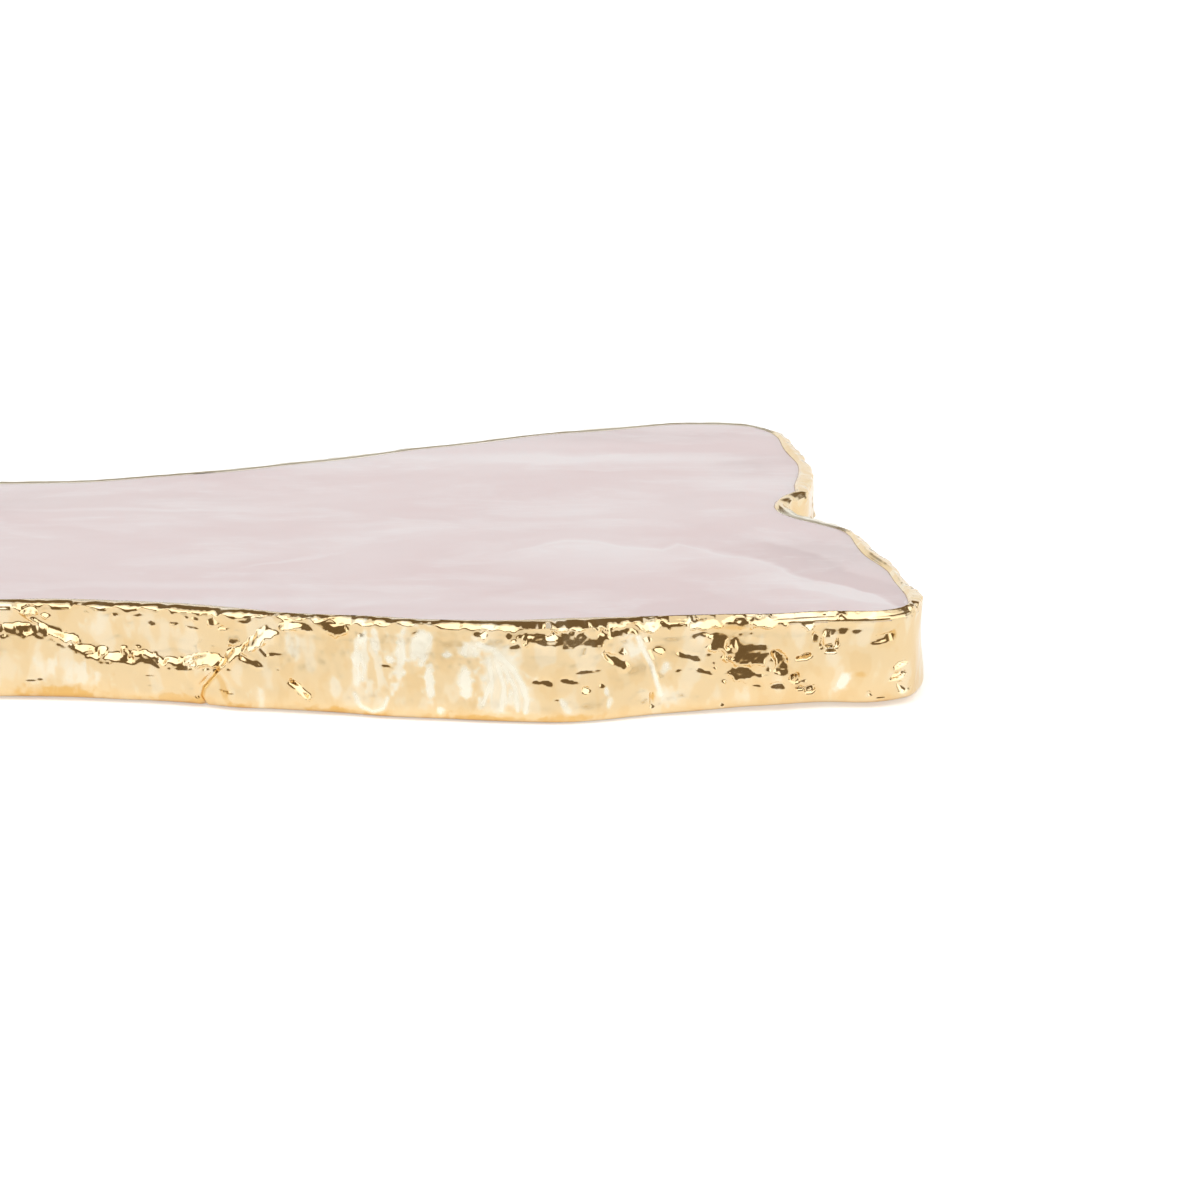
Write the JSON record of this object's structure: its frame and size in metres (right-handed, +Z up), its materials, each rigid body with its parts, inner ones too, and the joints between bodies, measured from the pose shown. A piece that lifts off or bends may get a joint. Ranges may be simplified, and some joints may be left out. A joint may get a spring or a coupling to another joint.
{
  "type": "gua sha stone",
  "caption": "Flat hand-held facial massage stone: a polished rose quartz slab, rounded at one end and notched at the other, its broken edge covered by a gold-plated metal band.",
  "frame": {"origin": "middle of the footprint, on the plane that the underside of the band rests on", "axes": "+X along the length towards the two lobes, +Y towards the straighter back side, +Z up through the thickness out of the upper polished face"},
  "size_m": [0.0886, 0.0582, 0.0068],
  "materials": {
    "rose_quartz": "polished, slightly translucent, with pale veils",
    "gold_plated_band": "gold-plated electroformed copper, bright, over a knapped surface"
  },
  "bodies": {
    "root": {"stone_slab": "rose_quartz", "gold_edge_band": "gold_plated_band"}
  },
  "joints": []
}
